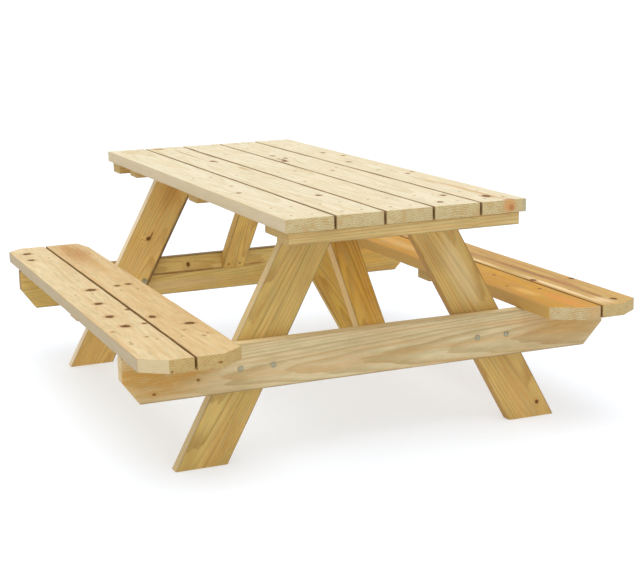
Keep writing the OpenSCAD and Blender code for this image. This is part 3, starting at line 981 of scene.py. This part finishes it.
def make_nuts(material):
    """Hexagon nuts, each turned a little differently, with bevelled corners."""
    bm = bmesh.new()
    for index, rows in enumerate(solids("bolt_nuts")):
        low, high = Vector(rows.min(0)), Vector(rows.max(0))
        middle = (low + high) / 2
        thick = high.y - low.y
        flat, hole, ease = 0.0065, 0.0041, 0.0007

        def outline(radius, turn):
            if radius <= hole + 0.0006:
                return radius
            return min(hexagon(flat, turn), radius)

        corner = flat / math.cos(math.pi / 6)
        profile = [(hole, -thick / 2 + 0.0005), (hole + 0.0005, -thick / 2),
                   (flat, -thick / 2), (corner, -thick / 2 + ease),
                   (corner, thick / 2 - ease), (flat, thick / 2),
                   (hole + 0.0005, thick / 2), (hole, thick / 2 - 0.0005)]
        spin = 0.35 + index * 0.8
        tube(bm, profile, 48, pointing(Y_AXIS, middle, spin), outline)
    return fastener_piece("bolt_nuts", bm, material)


def cross(radius, turn):
    """Outline of a cross recess: four narrow arms."""
    arm = 0.00065
    off = (turn + math.pi / 4) % (math.pi / 2) - math.pi / 4
    side = abs(math.sin(off))
    reach = arm / side if side > 1e-6 else radius
    return min(radius, max(reach, arm * 1.3))


# how far a screw's head sits below the wood, in metres
SUNK = 0.0006


def make_screws(node, material):
    """Countersunk screws with a cross recess and a point. Returns their holes."""
    bm = bmesh.new()
    holes = []
    for index, rows in enumerate(solids(node)):
        face, way, length = shaft(rows)
        holes.append((screw_hole(length), face, way, length))
        head, neck, depth, point = 0.0045, 0.00225, 0.0028, 0.005
        tip = SUNK - length
        spin = index * 1.7

        def outline(radius, turn):
            return cross(radius, turn) if radius < 0.0031 else radius

        profile = [(0, -0.0022), (0.0012, -0.0018), (0.0030, -0.00005), (0.0032, 0.0),
                   (0.0041, 0.0), (head, -0.0004), (head, -0.0006), (neck, -depth),
                   (neck, tip + point), (0, tip)]
        revolve(bm, profile, 48, pointing(way, face - way * SUNK, spin), outline)
    fastener_piece(node, bm, material)
    return holes


CUTTER_SIDES = 20
# how far a hole goes past the end of its screw or bolt, in metres
CUTTER_CLEAR = 0.001


def screw_hole(length):
    """Profile of a countersunk hole with a pilot bore for the whole screw."""
    rim, bore, sunk, depth = 0.0049, 0.0025, 0.0008, 0.0042
    return [(0, 0.006), (rim, 0.006), (rim, -sunk), (bore, -depth),
            (bore, -length - CUTTER_CLEAR), (0, -length - CUTTER_CLEAR)]


def bolt_hole(length):
    """Profile of a plain bore that goes right through, a little wider than the bolt."""
    bore = 0.0045
    return [(0, 0.002), (bore, 0.002), (bore, -length - CUTTER_CLEAR), (0, -length - CUTTER_CLEAR)]


def cutter_for(holes):
    """Several holes as one mesh, each turned by half a side so that none of its
    corners falls on an edge of the board's mesh."""
    bm = bmesh.new()
    for profile, face, way, _ in holes:
        revolve(bm, profile, CUTTER_SIDES, pointing(way, face, math.pi / CUTTER_SIDES))
    bmesh.ops.recalc_face_normals(bm, faces=bm.faces)
    mesh = bpy.data.meshes.new("cutter")
    bm.to_mesh(mesh)
    bm.free()
    cutter = bpy.data.objects.new("cutter", mesh)
    bpy.context.scene.collection.objects.link(cutter)
    return cutter


def meets(face, way, length, node):
    """Whether the line of a screw or bolt passes through a node's box."""
    low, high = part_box(node)
    tip = face - way * length
    return all(
        min(face[k], tip[k]) < high[k] and max(face[k], tip[k]) > low[k] for k in range(3)
    )


def drill(holes):
    """Cuts every hole into each board that it passes through."""
    for name, piece in BOARDS.items():
        mine = [hole for hole in holes if meets(*hole[1:], name)]
        if mine:
            cut_holes(piece, cutter_for(mine))


ZINC = metal("zinc", (186, 180, 154), (96, 92, 70), 0.42, 420.0)
COATED = metal("coated_steel", (196, 172, 124), (128, 100, 62), 0.45, 700.0)
holes = make_bolts(ZINC)
make_washers(ZINC)
make_nuts(ZINC)
for node in ("top_screws", "bench_screws", "leg_screws", "brace_screws"):
    holes += make_screws(node, COATED)
drill(holes)


# ---- floor, light and camera ----


def floor_material():
    """Pale floor that glows a little, so that it reads as a white studio sweep."""
    material = bpy.data.materials.new("studio_floor")
    net = Net(material)
    coords = net.add("ShaderNodeTexCoord")
    soft = net.noise(coords.outputs["Object"], 0.6, 3.0)
    surface = net.add("ShaderNodeBsdfPrincipled")
    net.put(surface.inputs["Base Color"], net.mix(soft, (0.50, 0.54, 0.60, 1), (0.53, 0.57, 0.63, 1)))
    surface.inputs["Roughness"].default_value = 0.9
    surface.inputs["Specular IOR Level"].default_value = 0.1
    surface.inputs["Emission Color"].default_value = (1.0, 1.0, 1.0, 1.0)
    surface.inputs["Emission Strength"].default_value = 0.48
    out = net.add("ShaderNodeOutputMaterial")
    net.put(out.inputs["Surface"], surface.outputs[0])
    return material


FLOOR_HALF = 300


def make_floor():
    """A plain floor that is wide enough for every view."""
    bm = bmesh.new()
    bmesh.ops.create_grid(bm, x_segments=8, y_segments=8, size=FLOOR_HALF)
    mesh = bpy.data.meshes.new("floor")
    bm.to_mesh(mesh)
    bm.free()
    mesh.materials.append(floor_material())
    floor = bpy.data.objects.new("floor", mesh)
    floor.location.z = -0.0005
    bpy.context.scene.collection.objects.link(floor)


def make_lights():
    """A soft sun from above and a sky that is brighter overhead, like a big softbox."""
    data = bpy.data.lights.new("key", "SUN")
    data.energy = 0.85
    data.angle = math.radians(40)
    data.color = (1.0, 0.99, 0.97)
    lamp = bpy.data.objects.new("key", data)
    way = Vector((0.35, 0.45, -1.6))
    lamp.rotation_euler = way.to_track_quat("-Z", "Y").to_euler()
    bpy.context.scene.collection.objects.link(lamp)
    world = bpy.data.worlds.new("studio")
    world.use_nodes = True
    nodes = world.node_tree.nodes
    links = world.node_tree.links
    coords = nodes.new("ShaderNodeTexCoord")
    split = nodes.new("ShaderNodeSeparateXYZ")
    links.new(coords.outputs["Generated"], split.inputs[0])
    glow = nodes.new("ShaderNodeMapRange")
    glow.inputs["From Min"].default_value = 0.0
    glow.inputs["From Max"].default_value = 1.0
    glow.inputs["To Min"].default_value = 0.7
    glow.inputs["To Max"].default_value = 1.1
    links.new(split.outputs[2], glow.inputs["Value"])
    links.new(glow.outputs[0], nodes["Background"].inputs["Strength"])
    nodes["Background"].inputs["Color"].default_value = (1.0, 1.0, 1.0, 1.0)
    bpy.context.scene.world = world
    bpy.context.scene.view_settings.view_transform = "Standard"


def make_camera():
    """Camera at the picture's viewing angle: turned right, tipped down and rolled a little."""
    yaw, pitch, roll = (math.radians(v) for v in (22.7, -12.3, -1.3))
    ahead = Vector((math.sin(yaw) * math.cos(pitch), math.cos(yaw) * math.cos(pitch), math.sin(pitch)))
    right = Vector((math.cos(yaw), -math.sin(yaw), 0))
    up = right.cross(ahead)
    tipped_right = right * math.cos(roll) + up * math.sin(roll)
    tipped_up = up * math.cos(roll) - right * math.sin(roll)
    data = bpy.data.cameras.new("camera")
    data.sensor_width = 36
    data.lens = 80.7
    camera = bpy.data.objects.new("camera", data)
    turn = Matrix((tipped_right, tipped_up, -ahead)).transposed()
    camera.matrix_world = Matrix.Translation((-1.74, -4.42, 1.37)) @ turn.to_4x4()
    bpy.context.scene.collection.objects.link(camera)
    bpy.context.scene.camera = camera


make_floor()
make_lights()
make_camera()
